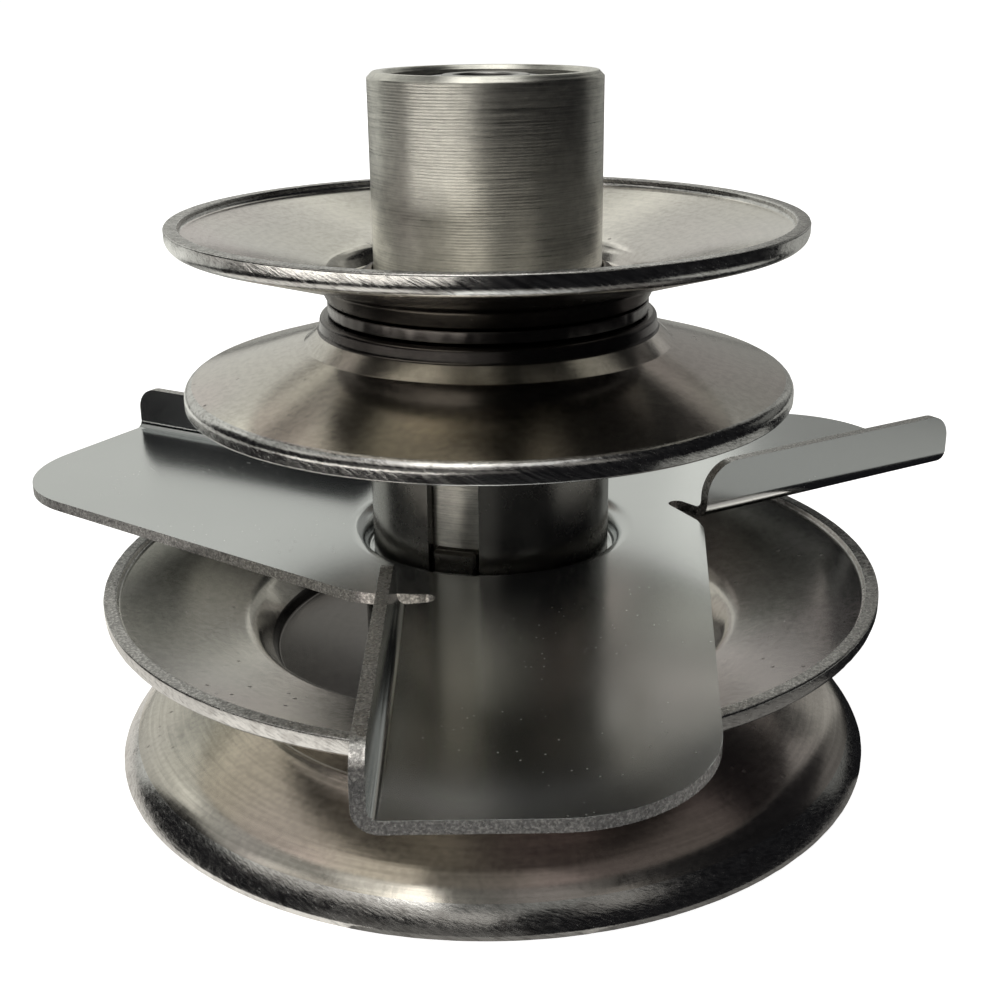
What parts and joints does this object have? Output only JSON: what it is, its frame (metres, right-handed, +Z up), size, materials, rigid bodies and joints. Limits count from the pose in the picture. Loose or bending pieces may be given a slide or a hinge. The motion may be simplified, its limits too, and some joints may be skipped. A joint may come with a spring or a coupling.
{
  "type": "variable speed pulley",
  "caption": "Stacked variator pulley with V belt grooves, a floating middle unit with cooling fan, on a bearing hub",
  "frame": {"origin": "on the shaft axis in the plane of the bottom rim, the lowest edge of the part; that is the lower end of the pivot bolt's line through the spindle sleeve", "axes": "+Z up along the shaft axis, from the bottom sheave to the open end of the hub tube; -Y points along the blade that lies towards the viewer"},
  "size_m": [0.1815, 0.1639, 0.1161],
  "materials": {
    "sheave_zinc": "zinc plated pressed steel, satin, with fine radial grain and small pits",
    "fan_zinc": "zinc plated sheet steel, smooth satin",
    "turned_hub": "turned steel with fine lathe lines",
    "sleeve_steel": "dark rolled steel, satin",
    "bearing_steel": "ground and polished bearing steel",
    "cage_steel": "pressed steel cage",
    "shield_steel": "pressed steel, bright",
    "spring_steel": "blackened spring steel",
    "weld_steel": "weld bead, dull and heat tinted",
    "spindle_steel": "machined steel, zinc plated"
  },
  "bodies": {
    "spindle": {"spindle_sleeve": "spindle_steel", "clamp_washer": "shield_steel", "inner_spacer": "spindle_steel", "lower_inner_race": "bearing_steel", "upper_inner_race": "bearing_steel"},
    "hub": {"bottom_sheave": "sheave_zinc", "drive_key": "sleeve_steel", "hub_tube": "turned_hub", "lower_bearing_bottom_shield": "shield_steel", "lower_bearing_top_shield": "shield_steel", "lower_outer_race": "bearing_steel", "lower_snap_ring": "spring_steel", "lower_weld_bead": "weld_steel", "stop_disc": "sleeve_steel", "top_sheave": "sheave_zinc", "upper_bearing_bottom_shield": "shield_steel", "upper_bearing_top_shield": "shield_steel", "upper_outer_race": "bearing_steel", "upper_snap_ring": "spring_steel", "upper_weld_bead": "weld_steel"},
    "floating_unit": {"middle_sheave": "sheave_zinc", "slotted_sleeve": "sleeve_steel", "cooling_fan": "fan_zinc", "spacer_tube": "sleeve_steel", "lower_sheave": "sheave_zinc"},
    "lower_cage": {"lower_ball_1": "bearing_steel", "lower_ball_2": "bearing_steel", "lower_ball_3": "bearing_steel", "lower_ball_4": "bearing_steel", "lower_ball_5": "bearing_steel", "lower_ball_6": "bearing_steel", "lower_ball_7": "bearing_steel", "lower_ball_8": "bearing_steel", "lower_ball_9": "bearing_steel", "lower_ball_cage": "cage_steel"},
    "upper_cage": {"upper_ball_1": "bearing_steel", "upper_ball_2": "bearing_steel", "upper_ball_3": "bearing_steel", "upper_ball_4": "bearing_steel", "upper_ball_5": "bearing_steel", "upper_ball_6": "bearing_steel", "upper_ball_7": "bearing_steel", "upper_ball_8": "bearing_steel", "upper_ball_9": "bearing_steel", "upper_ball_cage": "cage_steel"}
  },
  "joints": [
    {"name": "hub_spin", "type": "hinge", "parent": "spindle", "child": "hub", "pos_m": [0, 0, 0.058], "axis": [0, 0, 1], "continuous": true},
    {"name": "sheave_slide", "type": "slide", "parent": "hub", "child": "floating_unit", "axis": [0, 0, 1], "range_m": [-0.008, 0]},
    {"name": "lower_cage_spin", "type": "hinge", "parent": "spindle", "child": "lower_cage", "pos_m": [0, 0, 0.0079], "axis": [0, 0, 1], "continuous": true},
    {"name": "upper_cage_spin", "type": "hinge", "parent": "spindle", "child": "upper_cage", "pos_m": [0, 0, 0.1084], "axis": [0, 0, 1], "continuous": true}
  ],
  "couplings": [
    {"joint": "lower_cage_spin", "follows": "hub_spin", "ratio": 0.6},
    {"joint": "upper_cage_spin", "follows": "hub_spin", "ratio": 0.6}
  ]
}
